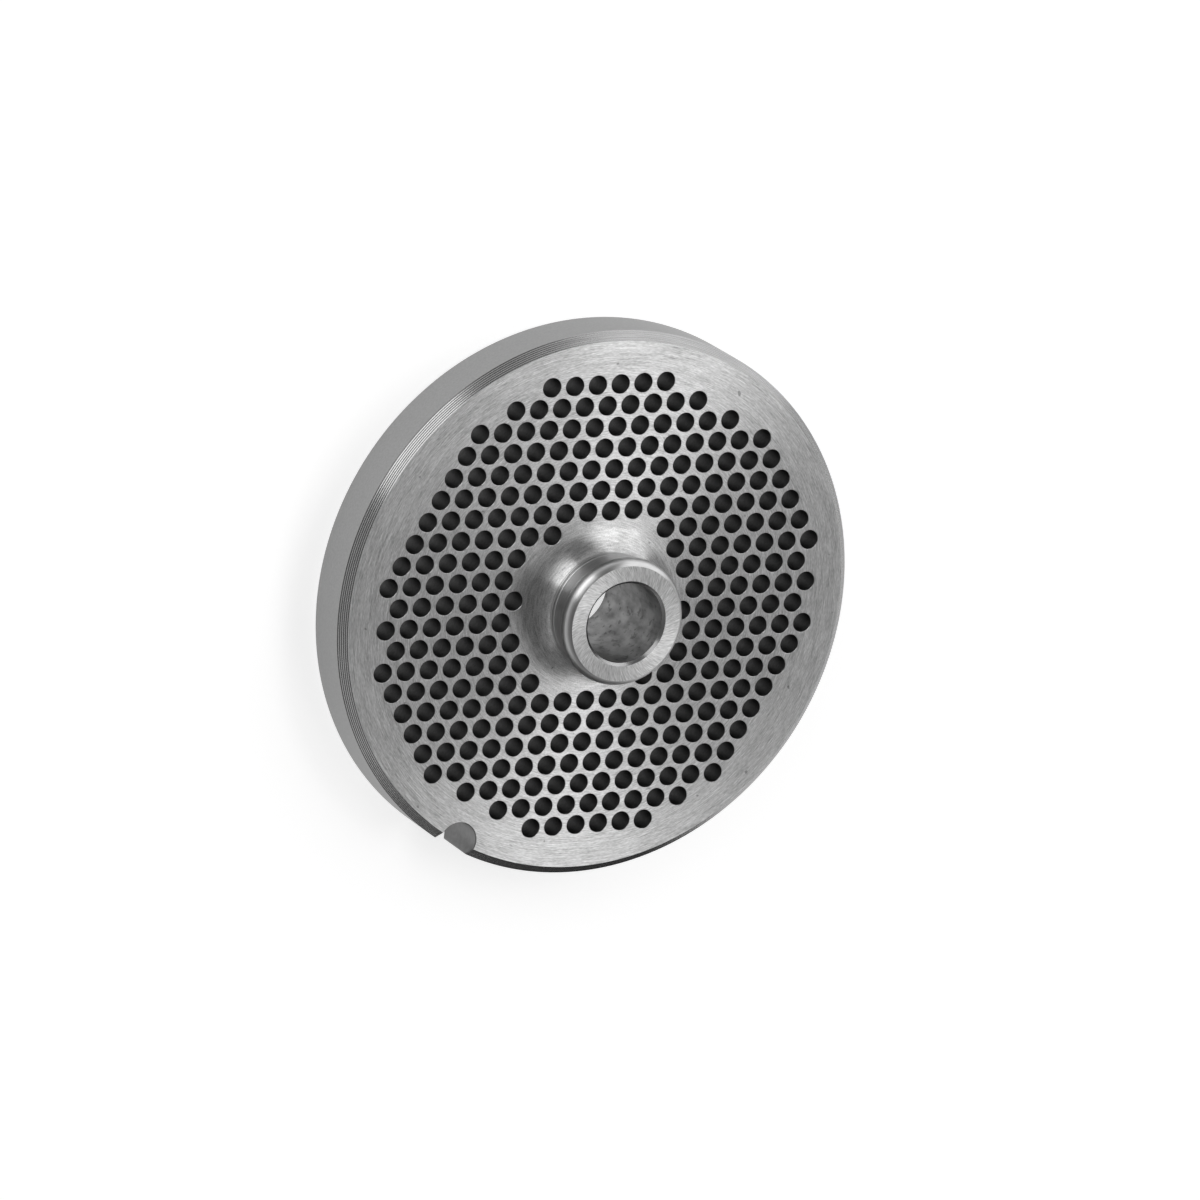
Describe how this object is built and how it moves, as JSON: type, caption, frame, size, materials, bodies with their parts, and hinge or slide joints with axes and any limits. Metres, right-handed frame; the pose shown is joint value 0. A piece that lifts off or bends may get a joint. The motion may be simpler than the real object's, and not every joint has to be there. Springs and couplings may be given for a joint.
{
  "type": "meat grinder plate",
  "caption": "Round ground-steel grinder plate: a grille of round through holes about a turned hub with a bore, and a half-round locating notch in the rim.",
  "frame": {"origin": "on the bore's axis, in the flat knife face that the plate lies on", "axes": "+Z along the bore's axis, out of the hub's end; the rim's locating notch points to -Y"},
  "size_m": [0.082, 0.0819, 0.0186],
  "materials": {
    "ground_steel": "ground"
  },
  "bodies": {
    "root": {"grinder_plate": "ground_steel"}
  },
  "joints": []
}
